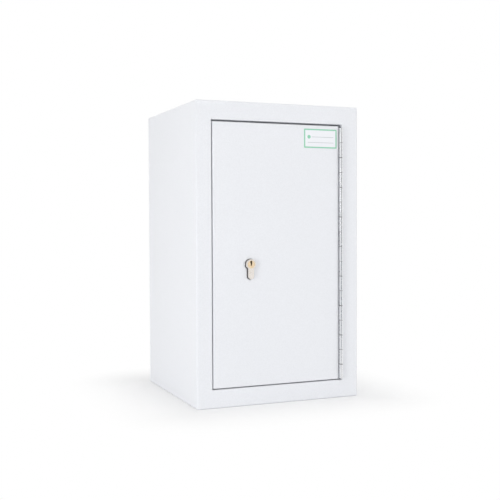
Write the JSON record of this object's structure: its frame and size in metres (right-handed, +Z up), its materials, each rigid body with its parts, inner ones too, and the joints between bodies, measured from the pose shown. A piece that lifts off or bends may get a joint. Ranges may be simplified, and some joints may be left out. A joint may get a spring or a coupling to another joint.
{
  "type": "lockable medicine cabinet",
  "caption": "Wall-hung steel medicine cabinet with a flush door on a continuous hinge, a euro-profile cylinder lock with a sliding bolt, and lift-off shelves.",
  "frame": {"origin": "centre of the flat base", "axes": "+Z up, front and door towards -Y, +X to the right seen from the front"},
  "size_m": [0.295, 0.2813, 0.5],
  "materials": {
    "body_paint": "satin powder coat",
    "door_paint": "satin powder coat",
    "shelf_paint": "satin powder coat",
    "hinge_steel": "bright zinc plated",
    "zinc_plate": "zinc plated",
    "bolt_steel": "machined and nickel plated",
    "screw_steel": "plain steel",
    "pin_steel": "oiled drawn wire",
    "cylinder_nickel": "satin nickel plated",
    "plug_brass": "polished brass",
    "buffer_rubber": "matt"
  },
  "bodies": {
    "cabinet": {"carcass": "body_paint", "back_panel": "body_paint", "stop_strip_lock_side": "body_paint", "stop_strip_top": "body_paint", "stop_strip_bottom": "body_paint", "door_buffers": "buffer_rubber", "shelf_rail_front_left": "body_paint", "shelf_rail_front_right": "body_paint", "shelf_rail_rear_left": "body_paint", "shelf_rail_rear_right": "body_paint", "shelf_clips_lower": "zinc_plate", "shelf_clips_upper": "zinc_plate", "hinge_leaf_frame": "hinge_steel", "hinge_rivets_frame": "hinge_steel"},
    "door": {"door_pan": "door_paint", "door_stiffener": "door_paint", "hinge_leaf_door": "hinge_steel", "hinge_rivets_door": "hinge_steel", "hinge_pin": "pin_steel", "lock_bracket": "zinc_plate", "lock_case": "zinc_plate", "lock_cover": "zinc_plate", "lock_case_screws": "screw_steel", "bolt_spring": "screw_steel", "cylinder_body": "cylinder_nickel", "cylinder_fixing_screw": "screw_steel"},
    "plug": {"cylinder_plug": "plug_brass", "cylinder_cam": "bolt_steel", "cylinder_ring": "screw_steel"},
    "bolt": {"lock_bolt": "bolt_steel"},
    "upper_shelf": {"shelf_upper": "shelf_paint"},
    "lower_shelf": {"shelf_lower": "shelf_paint"}
  },
  "joints": [
    {"name": "door_hinge", "type": "hinge", "parent": "cabinet", "child": "door", "pos_m": [0.1138, -0.1408, 0.249], "axis": [0, 0, 1], "range_deg": [0, 180]},
    {"name": "plug_turn", "type": "hinge", "parent": "door", "child": "plug", "pos_m": [-0.054, -0.1125, 0.234], "axis": [0, -1, 0], "range_deg": [0, 90]},
    {"name": "bolt_slide", "type": "slide", "parent": "door", "child": "bolt", "axis": [-1, 0, 0], "range_m": [0, 0.0185]},
    {"name": "upper_shelf_lift", "type": "slide", "parent": "cabinet", "child": "upper_shelf", "axis": [0, 0, 1], "range_m": [0, 0.012]},
    {"name": "lower_shelf_lift", "type": "slide", "parent": "cabinet", "child": "lower_shelf", "axis": [0, 0, 1], "range_m": [0, 0.012]}
  ],
  "couplings": [
    {"joint": "plug_turn", "follows": "bolt_slide", "rad_per_m": 84.907}
  ]
}
